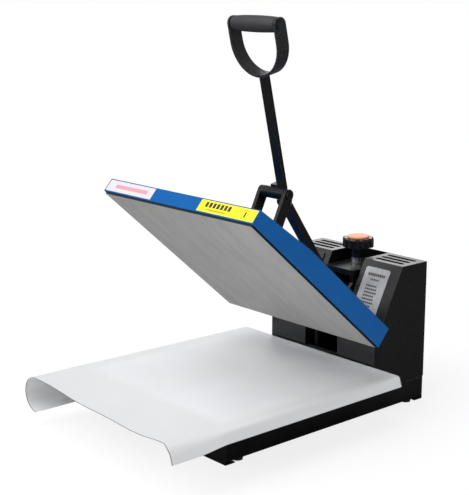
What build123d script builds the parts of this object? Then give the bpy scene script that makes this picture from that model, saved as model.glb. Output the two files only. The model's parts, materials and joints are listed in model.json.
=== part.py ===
"""Clamshell heat press, 380 x 380 mm platens, modelled standing open.

World frame: origin on the table under the middle of the base, +X to the operator's right,
+Y to the rear, +Z up.  All lengths are millimetres.

The swinging head is drawn on planes tilted by open_angle about the main hinge, so that turning
the head by open_angle about +X lays the heat plate flat on the sheet.
"""
from math import cos, hypot, radians, sin, tan
import os

from build123d import *

os.makedirs("parts", exist_ok=True)

# ---------------------------------------------------------------- driving dimensions
# base
base_width = 263.0
base_length = 477.5
base_height = 43.4
rail_lift = 5.4          # underside of the side rails above the table
sheet_metal = 2.0
rail_flange = 18.0
gap_panel_y = 107.0      # low panel that closes the gap between the towers
gap_panel_top = 90.5
gap_ledge = 9.0          # rearward fold along its top

# towers
wall = 1.6
tower_gap = 82.2         # clear width between the two towers
tower_front = 106.2
tower_top_front = 174.3
tower_height = 259.0
slope_start = 126.0      # height where the front face starts to lean back
tower_width = (base_width - tower_gap) / 2
tower_mid = (base_width + tower_gap) / 4
tower_rear = base_length / 2

# platens
platen_size = 380.0
platen_rear = 98.6       # rear edge of both platens, closed
pad_top = 88.4
pad_thick = 8.0
plate_thick = 8.0
sheet_thick = 0.5
closed_gap = 0.5         # left between heat plate and sheet when shut
heat_plate_drop = 3.0    # heat plate below the cover's rim
heat_plate_thick = 14.0
heat_plate_inset = 3.5
cover_front = 25.3
cover_back = 37.4
cover_bend = 130.8       # from the front edge to the bend in the lid

# main hinge, on the closed platen's frame
open_angle = 41.2
hinge_back = 53.0        # behind the cover's rear edge
hinge_up = 92.5          # above the cover's rim
hinge_pin_r = 8.0
running = 0.08           # radial clearance of a running fit

# lever pivot on the head, and lever
pivot_along = 208.6      # in front of the cover's rear edge
pivot_up = 144.0
post_tilt = 15.9
post_width = 20.0
post_thick = 7.0
post_inner = 27.5
shaft_r = 6.0
lever_lean = 12.6        # lever leans this far forward of vertical when open
bar_offset = 17.5        # lever bar's centre plane behind the pivot
bar_wide = 18.0
bar_deep = 8.0
link_pin_drop = 21.8     # link pin below the pivot, along the lever
link_wide = 20.0
link_deep = 12.0

# handle
grip_up = 290.0
grip_r = 14.0
strap_r = 58.0
strap_up = 260.0         # centre of the strap's round lower half
strap_thick = 4.0
strap_deep = 25.0

# rear anchor of the link and the pressure screw
anchor_y = 160.0
anchor_z = 158.0
anchor_r = 5.0
anchor_play = 5.6        # the link's rear eye stays this clear of the anchor pin
screw_y = 200.0
screw_r = 6.0
bridge_top = 238.0
bridge_thick = 10.0
bracket_inner = 28.5
bracket_thick = 7.0

# ---------------------------------------------------------------- derived places
hinge_y = platen_rear + hinge_back
rim_z = pad_top + sheet_thick + closed_gap + heat_plate_drop
hinge_z = rim_z + hinge_up
tilt_c = cos(radians(open_angle))
tilt_s = sin(radians(open_angle))
rim_y_open = hinge_y - hinge_back * tilt_c - hinge_up * tilt_s
rim_z_open = hinge_z + hinge_back * tilt_s - hinge_up * tilt_c
platen_mid_y = platen_rear - platen_size / 2

# head frame: x to the right, y to the rear along the cover, z out of the cover's top
head = Plane(origin=(0, rim_y_open, rim_z_open), x_dir=(1, 0, 0), z_dir=(0, tilt_s, tilt_c))
# head side view: x to the rear along the cover, y out of its top, z to the right
head_side = Plane(head.origin, x_dir=(0, tilt_c, -tilt_s), z_dir=(1, 0, 0))

pivot_y = rim_y_open - pivot_along * tilt_c + pivot_up * tilt_s
pivot_z = rim_z_open + pivot_along * tilt_s + pivot_up * tilt_c
lean_c = cos(radians(lever_lean))
lean_s = sin(radians(lever_lean))
# lever side view: x to the rear, y up the lever, z to the right
lever_side = Plane((0, pivot_y, pivot_z), x_dir=(0, lean_c, lean_s), z_dir=(1, 0, 0))
# lever front view: x to the right, y up the lever, z to the front
lever_face = Plane((0, pivot_y, pivot_z), x_dir=(1, 0, 0), z_dir=(0, -lean_c, -lean_s))

link_y = pivot_y + bar_offset * lean_c + link_pin_drop * lean_s
link_z = pivot_z + bar_offset * lean_s - link_pin_drop * lean_c
link_length = hypot(anchor_y - link_y, anchor_z - link_z)
link_u = (anchor_y - link_y) / link_length
link_v = (anchor_z - link_z) / link_length
# link side view: x from the lever's pin to the rear anchor, z to the right
link_side = Plane((0, link_y, link_z), x_dir=(0, link_u, link_v), z_dir=(1, 0, 0))

# sloping tower face: x to the right, y up the slope, z outwards
slope_run = tower_top_front - tower_front
slope_rise = tower_height - slope_start
slope_length = hypot(slope_run, slope_rise)
slope = Plane(
    (0, tower_front, slope_start),
    x_dir=(1, 0, 0),
    z_dir=(0, -slope_rise / slope_length, slope_run / slope_length),
)
# rear view: x to the left, y up, z to the rear
rear_skin = wall
rear = Plane((0, tower_rear, 0), x_dir=(-1, 0, 0), z_dir=(0, 1, 0))


def finish(builder, label):
    """Name a finished piece and write it as one STEP file."""
    builder.part.label = label
    export_step(builder.part, f"parts/{label}.step")


def block(label, width, depth, low, high, mid_y=0.0, mid_x=0.0):
    """A plain level block between two heights."""
    with BuildPart() as piece:
        with BuildSketch(Plane.XY.offset(low)):
            with Locations((mid_x, mid_y)):
                Rectangle(width, depth)
        extrude(amount=high - low)
    finish(piece, label)


def round_heads(label, plane, points, radius, height, socket=0.0):
    """Screw heads standing on a plane, with an optional hexagon socket."""
    with BuildPart() as heads:
        with BuildSketch(plane):
            with Locations(*points):
                Circle(radius)
        extrude(amount=height)
        if socket:
            with BuildSketch(plane.offset(height)):
                with Locations(*points):
                    RegularPolygon(socket, 6)
            extrude(amount=-height * 0.5, mode=Mode.SUBTRACT)
    finish(heads, label)


# ---------------------------------------------------------------- base
deck_low = base_height - sheet_metal
end_inner = base_length / 2 - sheet_metal
foot_r = 9.0
foot_x = base_width / 2 - rail_flange / 2 - 1.0
foot_y = 205.0
cable_slot = (70.0, 50.0)


def base():
    """Deck with a low upturned panel, two C-section rails, two end panels and rubber feet."""
    with BuildPart() as deck:
        with BuildSketch(Plane.XY.offset(deck_low)):
            Rectangle(base_width, 2 * end_inner)
            with Locations((-tower_mid, 175), (tower_mid, 175)):
                Rectangle(*cable_slot, mode=Mode.SUBTRACT)
        extrude(amount=sheet_metal)
        with BuildSketch(Plane.XY.offset(base_height)):
            with Locations((0, gap_panel_y + sheet_metal / 2)):
                Rectangle(tower_gap - 2.0, sheet_metal)
        extrude(amount=gap_panel_top - base_height)
        with BuildSketch(Plane.XY.offset(gap_panel_top - sheet_metal)):
            with Locations((0, gap_panel_y + gap_ledge / 2)):
                Rectangle(tower_gap - 2.0, gap_ledge)
        extrude(amount=sheet_metal)
    finish(deck, "base_deck")

    with BuildPart() as rails:
        for side in (-1, 1):
            with BuildSketch(Plane.XZ):
                with BuildLine():
                    Polyline(
                        (side * base_width / 2, deck_low),
                        (side * base_width / 2, rail_lift),
                        (side * (base_width / 2 - rail_flange), rail_lift),
                        (side * (base_width / 2 - rail_flange), rail_lift + sheet_metal),
                        (side * (base_width / 2 - sheet_metal), rail_lift + sheet_metal),
                        (side * (base_width / 2 - sheet_metal), deck_low),
                        close=True,
                    )
                make_face()
            extrude(amount=end_inner, both=True)
    finish(rails, "base_rails")

    for end, name in ((-1, "front"), (1, "rear")):
        with BuildPart() as panel:
            with BuildSketch(Plane.YZ):
                with BuildLine():
                    Polyline(
                        (end * base_length / 2, base_height),
                        (end * base_length / 2, 0),
                        (end * (end_inner - rail_flange), 0),
                        (end * (end_inner - rail_flange), sheet_metal),
                        (end * end_inner, sheet_metal),
                        (end * end_inner, base_height),
                        close=True,
                    )
                make_face()
            extrude(amount=base_width / 2, both=True)
        finish(panel, f"base_{name}_panel")

    with BuildPart() as feet:
        with BuildSketch(Plane.XY):
            with GridLocations(2 * foot_x, 2 * foot_y, 2, 2):
                Circle(foot_r)
        extrude(amount=rail_lift, taper=-8)
    finish(feet, "rubber_feet")


# ---------------------------------------------------------------- towers
vent_size = (66.0, 9.5)
vent_rows = (191.0, 207.5, 224.0)
window = (52.0, 94.0)
window_up = 90.0


def tower(side, name):
    """Folded housing, open below and at the back, with three slots in its top."""
    with BuildPart() as housing:
        with BuildSketch(Plane.YZ.offset(side * tower_mid)):
            with BuildLine():
                Polyline(
                    (tower_front, base_height),
                    (tower_front, slope_start),
                    (tower_top_front, tower_height),
                    (tower_rear, tower_height),
                    (tower_rear, base_height),
                    close=True,
                )
            make_face()
        extrude(amount=tower_width / 2, both=True)
        shell_open = [housing.faces().sort_by(Axis.Z)[0], housing.faces().sort_by(Axis.Y)[-1]]
        offset(amount=-wall, openings=shell_open)
        with BuildSketch(Plane.XY.offset(tower_height)):
            with Locations(*[(side * tower_mid, row) for row in vent_rows]):
                SlotOverall(*vent_size)
        extrude(amount=-2 * wall, mode=Mode.SUBTRACT)
        if side < 0:
            with BuildSketch(slope):
                with Locations((side * tower_mid, window_up)):
                    Rectangle(*window)
            extrude(amount=-2 * wall, mode=Mode.SUBTRACT)
    finish(housing, f"tower_{name}")


inlet_at = (tower_mid, 84.0)          # on the rear plane, x to the left
inlet_hole = (28.0, 21.0)
fuse_at = (tower_mid - 24.0, 125.0)
fuse_hole_r = 7.0
switch_at = (tower_mid + 12.0, 125.0)
switch_hole = (20.0, 26.0)
rocker_width = 15.0
rocker_pin_r = 2.0
rocker_pin_out = 0.4
rear_vents = (150.0, 162.0, 174.0, 186.0)
rear_vent_size = (58.0, 6.0)


def rear_panel():
    """One panel closes both towers and the space between them."""
    with BuildPart() as panel:
        with BuildSketch(rear):
            with BuildLine():
                Polyline(
                    (-base_width / 2, base_height),
                    (-base_width / 2, tower_height),
                    (base_width / 2, tower_height),
                    (base_width / 2, base_height),
                    close=True,
                )
            make_face()
            with Locations(inlet_at):
                Rectangle(*inlet_hole, mode=Mode.SUBTRACT)
            with Locations(fuse_at):
                Circle(fuse_hole_r, mode=Mode.SUBTRACT)
            with Locations(switch_at):
                Rectangle(*switch_hole, mode=Mode.SUBTRACT)
            with Locations(*[(-tower_mid, row) for row in rear_vents]):
                SlotOverall(*rear_vent_size, mode=Mode.SUBTRACT)
        extrude(amount=rear_skin)
    finish(panel, "rear_panel")

    screws = [(sx * (base_width / 2 - 7), z) for sx in (-1, 1) for z in (60, 150, 245)]
    screws += [(sx * (tower_gap / 2 + 7), z) for sx in (-1, 1) for z in (60, 245)]
    round_heads("rear_panel_screws", rear.offset(rear_skin), screws, 3.6, 2.2, socket=1.7)


# ---------------------------------------------------------------- rear electrics
def rear_electrics():
    """Mains inlet, fuse holder and rocker switch on the rear panel."""
    outside = rear.offset(rear_skin)
    with BuildPart() as inlet:
        with BuildSketch(outside):
            with Locations(inlet_at):
                Rectangle(48, 24)
        extrude(amount=3)
        fillet(inlet.edges().filter_by(Axis.Y), 3)
        with BuildSketch(outside):
            with Locations(inlet_at):
                Rectangle(*inlet_hole)
        extrude(amount=-22)
        with BuildSketch(outside.offset(3)):
            with Locations(inlet_at):
                Rectangle(24, 17)
        extrude(amount=-19, mode=Mode.SUBTRACT)
    finish(inlet, "inlet_socket")

    with BuildPart() as fuse:
        with BuildSketch(outside):
            with Locations(fuse_at):
                Circle(9)
        extrude(amount=2.5)
        with BuildSketch(outside.offset(2.5)):
            with Locations(fuse_at):
                Circle(6.5)
        extrude(amount=6)
        with BuildSketch(outside):
            with Locations(fuse_at):
                Circle(fuse_hole_r)
        extrude(amount=-24)
        with BuildSketch(outside.offset(8.5)):
            with Locations(fuse_at):
                Rectangle(9, 1.6)
        extrude(amount=-1.2, mode=Mode.SUBTRACT)
    finish(fuse, "fuse_holder")

    with BuildPart() as bezel:
        with BuildSketch(outside):
            with Locations(switch_at):
                Rectangle(26, 32)
        extrude(amount=2)
        with BuildSketch(outside):
            with Locations(switch_at):
                Rectangle(*switch_hole)
        extrude(amount=-20)
        with BuildSketch(outside.offset(2)):
            with Locations(switch_at):
                Rectangle(16, 22)
        extrude(amount=-18, mode=Mode.SUBTRACT)
    finish(bezel, "switch_bezel")

    # rocker: a shallow V seen from the side, turning about a pin across the switch
    rocker_y = tower_rear + rear_skin - 3.0
    rocker_z = switch_at[1]
    with BuildPart() as rocker:
        with BuildSketch(Plane.YZ.offset(-switch_at[0])):
            with BuildLine():
                Polyline(
                    (rocker_y - 5, rocker_z - 4),
                    (rocker_y + 4.0, rocker_z - 9.0),
                    (rocker_y + 7.0, rocker_z - 8.8),
                    (rocker_y + 5.2, rocker_z),
                    (rocker_y + 9.5, rocker_z + 8.0),
                    (rocker_y + 6.5, rocker_z + 9.0),
                    (rocker_y - 5, rocker_z + 4),
                    close=True,
                )
            make_face()
        extrude(amount=rocker_width / 2, both=True)
        with BuildSketch(Plane.YZ.offset(-switch_at[0])):
            with Locations((rocker_y, rocker_z)):
                Circle(rocker_pin_r)
        extrude(amount=rocker_width / 2 + rocker_pin_out, both=True)
    finish(rocker, "power_rocker")


# ---------------------------------------------------------------- inner electrics
def inner_electrics():
    """Heat-sinked relay standing on the deck inside the left tower."""
    with BuildPart() as relay:
        with BuildSketch(Plane.XY.offset(base_height)):
            with Locations((-tower_mid, 215)):
                Rectangle(60, 6)
            with Locations(*[(-tower_mid + 9 * i, 206) for i in range(-3, 4)]):
                Rectangle(2, 12)
            with Locations((-tower_mid, 225)):
                Rectangle(44, 14)
        extrude(amount=26)
    finish(relay, "relay_on_heat_sink")


# ---------------------------------------------------------------- controller
display_at = (-tower_mid, window_up + 26.0)
display_size = (42.0, 22.0)
button_grid = [(-tower_mid + dx, window_up + dz) for dz in (-6, -30) for dx in (-13, 13)]
button_names = ("up", "down", "mode", "start")
button_r = 6.0
button_play = 0.35
lamp_at = [(-tower_mid + dx, window_up + 9) for dx in (-13, 13)]
lamp_r = 2.0
bezel_thick = 2.5
case_deep = 26.0


def controller():
    """Controller on the left slope: bezel, display, lamps, four sprung buttons, board, case."""
    with BuildPart() as bezel:
        with BuildSketch(slope):
            with Locations((-tower_mid, window_up)):
                RectangleRounded(62, 104, 5)
            with Locations(display_at):
                Rectangle(*display_size, mode=Mode.SUBTRACT)
            with Locations(*button_grid):
                Circle(button_r + button_play, mode=Mode.SUBTRACT)
            with Locations(*lamp_at):
                Circle(lamp_r, mode=Mode.SUBTRACT)
        extrude(amount=bezel_thick)
    finish(bezel, "controller_bezel")

    with BuildPart() as display:
        with BuildSketch(slope.offset(-8)):
            with Locations(display_at):
                Rectangle(*display_size)
        extrude(amount=9.6)
    finish(display, "display_window")

    with BuildPart() as lamps:
        with BuildSketch(slope.offset(-9)):
            with Locations(*lamp_at):
                Circle(lamp_r)
        extrude(amount=9 + bezel_thick + 0.6)
    finish(lamps, "indicator_lamps")

    with BuildPart() as board:
        with BuildSketch(slope.offset(-10.6)):
            with Locations((-tower_mid, window_up)):
                Rectangle(46, 86)
        extrude(amount=1.6)
        with BuildSketch(slope.offset(-9)):
            with Locations(*button_grid):
                Rectangle(6, 6)
        extrude(amount=3.4)
    finish(board, "controller_board")

    with BuildPart() as case:
        with BuildSketch(slope):
            with Locations((-tower_mid, window_up)):
                Rectangle(window[0] - 0.4, window[1] - 0.4)
        extrude(amount=-case_deep)
        with BuildSketch(slope):
            with Locations((-tower_mid, window_up)):
                Rectangle(window[0] - 3.4, window[1] - 3.4)
        extrude(amount=-case_deep + 2, mode=Mode.SUBTRACT)
    finish(case, "controller_case")

    for place, name in zip(button_grid, button_names):
        with BuildPart() as button:
            with BuildSketch(slope.offset(-1.2)):
                with Locations(place):
                    Circle(button_r)
            extrude(amount=bezel_thick + 3.4)
            fillet(button.edges().filter_by(GeomType.CIRCLE).sort_by(Axis((0, 0, 0), slope.z_dir))[-1], 1.0)
            with BuildSketch(slope.offset(-4.2)):
                with Locations(place):
                    Circle(2)
            extrude(amount=3.0)
        finish(button, f"button_{name}")


# ---------------------------------------------------------------- rating plate
def rating_plate():
    """Thin metal plate on the right slope."""
    with BuildPart() as plate:
        with BuildSketch(slope):
            with Locations((81.5, 91.0)):
                RectangleRounded(56.5, 92, 4)
        extrude(amount=0.8)
    finish(plate, "rating_plate")


# ---------------------------------------------------------------- lower platen
bar_x = 85.0
leg_y = (-200.0, -30.0)


def lower_platen():
    """Bars on four adjustable legs carry the plate, the silicone pad and the loose sheet."""
    plate_low = pad_top - pad_thick - plate_thick
    bar_low = plate_low - 10.0
    with BuildPart() as legs:
        with BuildSketch(Plane.XY.offset(base_height)):
            with Locations(*[(sx * bar_x, y) for sx in (-1, 1) for y in leg_y]):
                Circle(9)
        extrude(amount=bar_low - base_height)
        with BuildSketch(Plane.XY.offset(base_height)):
            with Locations(*[(sx * bar_x, y) for sx in (-1, 1) for y in leg_y]):
                Circle(17)
        extrude(amount=5)
    finish(legs, "platen_legs")
    with BuildPart() as bars:
        with BuildSketch(Plane.XY.offset(bar_low)):
            with Locations((-bar_x, -110), (bar_x, -110)):
                Rectangle(36, 300)
        extrude(amount=10)
    finish(bars, "platen_bars")
    block("lower_platen", platen_size, platen_size, plate_low, pad_top - pad_thick, platen_mid_y)
    block("silicone_pad", platen_size, platen_size, pad_top - pad_thick, pad_top, platen_mid_y)


sheet_crest_x = -196.0
sheet_roll_r = 29.0
sheet_right = 197.0
sheet_front = -392.0
sheet_back = 103.0
sheet_flap = 19.0


def loose_sheet():
    """Thin release sheet on the pad: overhangs the front, rolls under at the left, folds down at the right."""
    roll_mid = pad_top + sheet_thick - sheet_roll_r
    roll_inner = sheet_roll_r - sheet_thick
    with BuildPart() as sheet:
        with BuildSketch(Plane.XZ.offset(-sheet_back)):
            with BuildLine():
                Polyline(
                    (sheet_crest_x, pad_top),
                    (sheet_right - sheet_thick, pad_top),
                    (sheet_right - sheet_thick, pad_top - sheet_flap),
                    (sheet_right, pad_top - sheet_flap),
                    (sheet_right, pad_top + sheet_thick),
                    (sheet_crest_x, pad_top + sheet_thick),
                )
                ThreePointArc(
                    (sheet_crest_x, pad_top + sheet_thick),
                    (sheet_crest_x - sheet_roll_r, roll_mid),
                    (sheet_crest_x, roll_mid - sheet_roll_r),
                )
                Line((sheet_crest_x, roll_mid - sheet_roll_r), (sheet_crest_x, roll_mid - roll_inner))
                ThreePointArc(
                    (sheet_crest_x, roll_mid - roll_inner),
                    (sheet_crest_x - roll_inner, roll_mid),
                    (sheet_crest_x, pad_top),
                )
            make_face()
        extrude(amount=sheet_back - sheet_front)
    finish(sheet, "release_sheet")


# ---------------------------------------------------------------- rear brackets, bridge, anchor
boss_r = 22.0


def hinge_brackets():
    """Two upright plates between the towers carry the hinge pins and the bridge."""
    for side, name in ((-1, "left"), (1, "right")):
        with BuildPart() as bracket:
            with BuildSketch(Plane.YZ.offset(side * (bracket_inner + bracket_thick / 2))):
                with BuildLine():
                    Polyline(
                        (125, base_height),
                        (125, 140),
                        (132, 195),
                        (149, 215),
                        (149, bridge_top),
                        (228, bridge_top),
                        (228, base_height),
                        close=True,
                    )
                make_face()
                with Locations((hinge_y, hinge_z)):
                    Circle(boss_r)
                    Circle(hinge_pin_r, mode=Mode.SUBTRACT)
            extrude(amount=bracket_thick / 2, both=True)
            with BuildSketch(Plane.XY.offset(base_height)):
                with Locations((side * (bracket_inner + bracket_thick + 2.5), 176)):
                    Rectangle(5, 90)
            extrude(amount=18)
        finish(bracket, f"hinge_bracket_{name}")

    with BuildPart() as pins:
        for side in (-1, 1):
            with BuildSketch(Plane.YZ.offset(side * 20.2)):
                with Locations((hinge_y, hinge_z)):
                    Circle(hinge_pin_r)
            extrude(amount=side * 15.3)
            with BuildSketch(Plane.YZ.offset(side * 35.5)):
                with Locations((hinge_y, hinge_z)):
                    Circle(hinge_pin_r + 4)
            extrude(amount=side * 4)
    finish(pins, "hinge_pins")

    with BuildPart() as bridge:
        with BuildSketch(Plane.XY.offset(bridge_top - bridge_thick)):
            with Locations((0, 188.5)):
                Rectangle(2 * bracket_inner, 79)
            with Locations((0, screw_y)):
                Circle(screw_r + running, mode=Mode.SUBTRACT)
        extrude(amount=bridge_thick)
    finish(bridge, "pressure_bridge")


yoke_low = 140.0
yoke_high = 174.0


def pressure_anchor():
    """Yoke that the screw raises and lowers between the brackets, with the link's rear pin."""
    with BuildPart() as yoke:
        for side in (-1, 1):
            with BuildSketch(Plane.YZ.offset(side * 15.5)):
                with BuildLine():
                    Polyline(
                        (148, yoke_low),
                        (190, yoke_low),
                        (190, yoke_high),
                        (176, yoke_high),
                        (148, 164),
                        close=True,
                    )
                make_face()
                with Locations((anchor_y, anchor_z)):
                    Circle(anchor_r, mode=Mode.SUBTRACT)
            extrude(amount=3.5, both=True)
        with BuildSketch(Plane.XY.offset(yoke_low)):
            with Locations((0, screw_y)):
                Rectangle(2 * bracket_inner - 2, 22)
                Circle(screw_r + running, mode=Mode.SUBTRACT)
        extrude(amount=yoke_high - yoke_low)
    finish(yoke, "anchor_yoke")
    with BuildPart() as pin:
        with BuildSketch(Plane.YZ):
            with Locations((anchor_y, anchor_z)):
                Circle(anchor_r)
        extrude(amount=19, both=True)
    finish(pin, "anchor_pin")


knob_r = 29.0
knob_low = 271.0
knob_high = 288.0
knob_lobes = 8
scallop_r = 9.5
scallop_out = 7.3         # scallop centres stand this far outside the knob


def pressure_knob():
    """Screw, toothed collar and lobed knob with a domed cap, turning together."""
    with BuildPart() as screw:
        with BuildSketch(Plane.XY.offset(126)):
            with Locations((0, screw_y)):
                Circle(screw_r)
        extrude(amount=knob_low - 126)
        chamfer(screw.edges().sort_by(Axis.Z)[0], 1.5)
    finish(screw, "pressure_screw")
    with BuildPart() as collar:
        with BuildSketch(Plane.XY.offset(bridge_top + 0.4)):
            with Locations((0, screw_y)):
                Circle(11.7)
                Circle(screw_r, mode=Mode.SUBTRACT)
                with PolarLocations(11.7, 14):
                    Circle(1.5, mode=Mode.SUBTRACT)
        extrude(amount=12.6)
    finish(collar, "knob_collar")
    with BuildPart() as knob:
        with BuildSketch(Plane.XY.offset(bridge_top + 13)):
            with Locations((0, screw_y)):
                Circle(12.8)
                Circle(screw_r, mode=Mode.SUBTRACT)
        extrude(amount=knob_low - bridge_top - 13)
        with BuildSketch(Plane.XY.offset(knob_low)):
            with Locations((0, screw_y)):
                Circle(knob_r)
                with PolarLocations(knob_r + scallop_out, knob_lobes):
                    Circle(scallop_r, mode=Mode.SUBTRACT)
        extrude(amount=knob_high - knob_low)
        fillet(knob.faces().sort_by(Axis.Z)[-1].edges(), 3.6)
    finish(knob, "pressure_knob")
    with BuildPart() as cap:
        with BuildSketch(Plane.XY.offset(knob_high)):
            with Locations((0, screw_y)):
                Circle(20.5)
        extrude(amount=3.0)
        fillet(cap.edges().sort_by(Axis.Z)[-1], 2.0)
    finish(cap, "knob_cap")


# ---------------------------------------------------------------- heating head
cover_wall = 1.5
base_plate_top = cover_back + 5.0
base_plate_x = (-235.0, -22.0)
stud_points = [(sx * 36.0, y) for sx in (-1, 1) for y in (-222.0, -130.0, -38.0)]
stud_r = 4.0
spacer_r = 8.0
element_low = heat_plate_thick - heat_plate_drop
element_high = element_low + 5.0


def heating_head():
    """Cover, heat plate, element, blanket, and the studs that hang them from the arm."""
    with BuildPart() as cover:
        with BuildSketch(head_side):
            with BuildLine():
                Polyline(
                    (-platen_size, 0),
                    (-platen_size, cover_front),
                    (cover_bend - platen_size, cover_back),
                    (0, cover_back),
                    (0, 0),
                    close=True,
                )
            make_face()
        extrude(amount=platen_size / 2, both=True)
        rim = cover.faces().sort_by(Axis(head.origin, head.z_dir))[0]
        offset(amount=-cover_wall, openings=rim)
        with BuildSketch(head.offset(cover_back)):
            with Locations(*stud_points):
                Circle(stud_r)
        extrude(amount=-2 * cover_wall, mode=Mode.SUBTRACT)
    finish(cover, "head_cover")

    plate_side = platen_size - 2 * heat_plate_inset
    with BuildPart() as plate:
        with BuildSketch(head.offset(-heat_plate_drop)):
            with Locations((0, -platen_size / 2)):
                Rectangle(plate_side, plate_side)
        extrude(amount=heat_plate_thick)
    finish(plate, "heat_plate")

    # serpentine element bedded on the plate between the studs
    runs = [-170.0 + 34.0 * i for i in range(11)]
    path = []
    for i, x in enumerate(runs):
        ends = (-350.0, -250.0) if i % 2 else (-250.0, -350.0)
        path += [(x, ends[0]), (x, ends[1])]
    with BuildPart() as element:
        with BuildSketch(head.offset(element_low)):
            with BuildLine():
                Polyline(*path)
            trace(line_width=7)
        extrude(amount=element_high - element_low)
    finish(element, "heating_element")

    with BuildPart() as blanket:
        with BuildSketch(head.offset(element_high)):
            with Locations((0, -platen_size / 2)):
                Rectangle(plate_side - 4, plate_side - 4)
            with Locations(*stud_points):
                Circle(spacer_r, mode=Mode.SUBTRACT)
        extrude(amount=6)
    finish(blanket, "insulation_blanket")

    with BuildPart() as spacers:
        with BuildSketch(head.offset(element_low)):
            with Locations(*stud_points):
                Circle(spacer_r)
                Circle(stud_r, mode=Mode.SUBTRACT)
        extrude(amount=cover_back - cover_wall - element_low)
    finish(spacers, "plate_spacers")

    with BuildPart() as studs:
        with BuildSketch(head.offset(element_low)):
            with Locations(*stud_points):
                Circle(stud_r)
        extrude(amount=base_plate_top - element_low)
        with BuildSketch(head.offset(base_plate_top)):
            with Locations(*stud_points):
                RegularPolygon(6.5, 6, major_radius=False)
        extrude(amount=6)
    finish(studs, "plate_studs")

    with BuildPart() as probe:
        with BuildSketch(head.offset(element_low)):
            with Locations((0, -120)):
                Rectangle(14, 24)
        extrude(amount=5)
    finish(probe, "thermostat")


# ---------------------------------------------------------------- swinging arm
cheek_inner = 20.5
cheek_top = 66.0
cheek_boss_r = 17.0


def arm():
    """Base plate, two cheeks to the hinge, two posts to the lever pivot, and the cross shaft."""
    with BuildPart() as base_plate:
        with BuildSketch(head.offset(cover_back)):
            with Locations((0, sum(base_plate_x) / 2)):
                Rectangle(96, base_plate_x[1] - base_plate_x[0])
            with Locations(*stud_points):
                Circle(stud_r, mode=Mode.SUBTRACT)
        extrude(amount=base_plate_top - cover_back)
        with BuildSketch(head_side):
            with Locations((-228, 52), (-90, 52)):
                Rectangle(8, 2 * (52 - base_plate_top))
        extrude(amount=cheek_inner, both=True)
    finish(base_plate, "arm_base_plate")

    thick = post_inner - cheek_inner
    with BuildPart() as cheeks:
        for side in (-1, 1):
            with BuildSketch(head_side.offset(side * (cheek_inner + thick / 2))):
                with BuildLine():
                    Polyline(
                        (base_plate_x[0], base_plate_top),
                        (base_plate_x[1], base_plate_top),
                        (hinge_back + 8, hinge_up - 15),
                        (hinge_back + 14, hinge_up + 6),
                        (hinge_back - 4, hinge_up + 16.5),
                        (-70, cheek_top),
                        (base_plate_x[0], cheek_top),
                        close=True,
                    )
                make_face()
                with Locations((hinge_back, hinge_up)):
                    Circle(cheek_boss_r)
                    Circle(hinge_pin_r + running, mode=Mode.SUBTRACT)
            extrude(amount=thick / 2, both=True)
    finish(cheeks, "arm_cheeks")

    tau = radians(post_tilt)
    half = post_width / 2
    for side, name in ((-1, "left"), (1, "right")):
        with BuildPart() as post:
            edges = []
            for end in (-1, 1):
                top = (-pivot_along + end * half * cos(tau), pivot_up + end * half * sin(tau))
                drop = (top[1] - base_plate_top) / cos(tau)
                edges.append((top, (top[0] + drop * sin(tau), base_plate_top)))
            with BuildSketch(head_side.offset(side * (post_inner + post_thick / 2))):
                with BuildLine():
                    Polyline(edges[0][0], edges[0][1], edges[1][1], edges[1][0], close=True)
                make_face()
                with Locations((-pivot_along, pivot_up)):
                    Circle(half)
                    Circle(shaft_r, mode=Mode.SUBTRACT)
            extrude(amount=post_thick / 2, both=True)
        finish(post, f"lever_post_{name}")

    with BuildPart() as bolts:
        for side in (-1, 1):
            with BuildSketch(head_side.offset(side * (post_inner + post_thick))):
                for up in (51.0, 60.0):
                    along = -pivot_along + (pivot_up - up) * tan(tau)
                    with Locations((along + 5.0 * (1 if up > 55 else -1), up)):
                        RegularPolygon(4, 6, major_radius=False)
            extrude(amount=side * 4)
    finish(bolts, "post_bolts")

    with BuildPart() as shaft:
        with BuildSketch(lever_side):
            Circle(shaft_r)
        extrude(amount=post_inner + post_thick, both=True)
        for side in (-1, 1):
            with BuildSketch(lever_side.offset(side * (post_inner + post_thick))):
                Circle(7.5)
            extrude(amount=side * 2.5)
    finish(shaft, "pivot_shaft")


# ---------------------------------------------------------------- lever
sleeve_r = 10.5
tongue_wide = 12.0
tongue_r = 9.0
link_pin_r = 4.0


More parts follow.
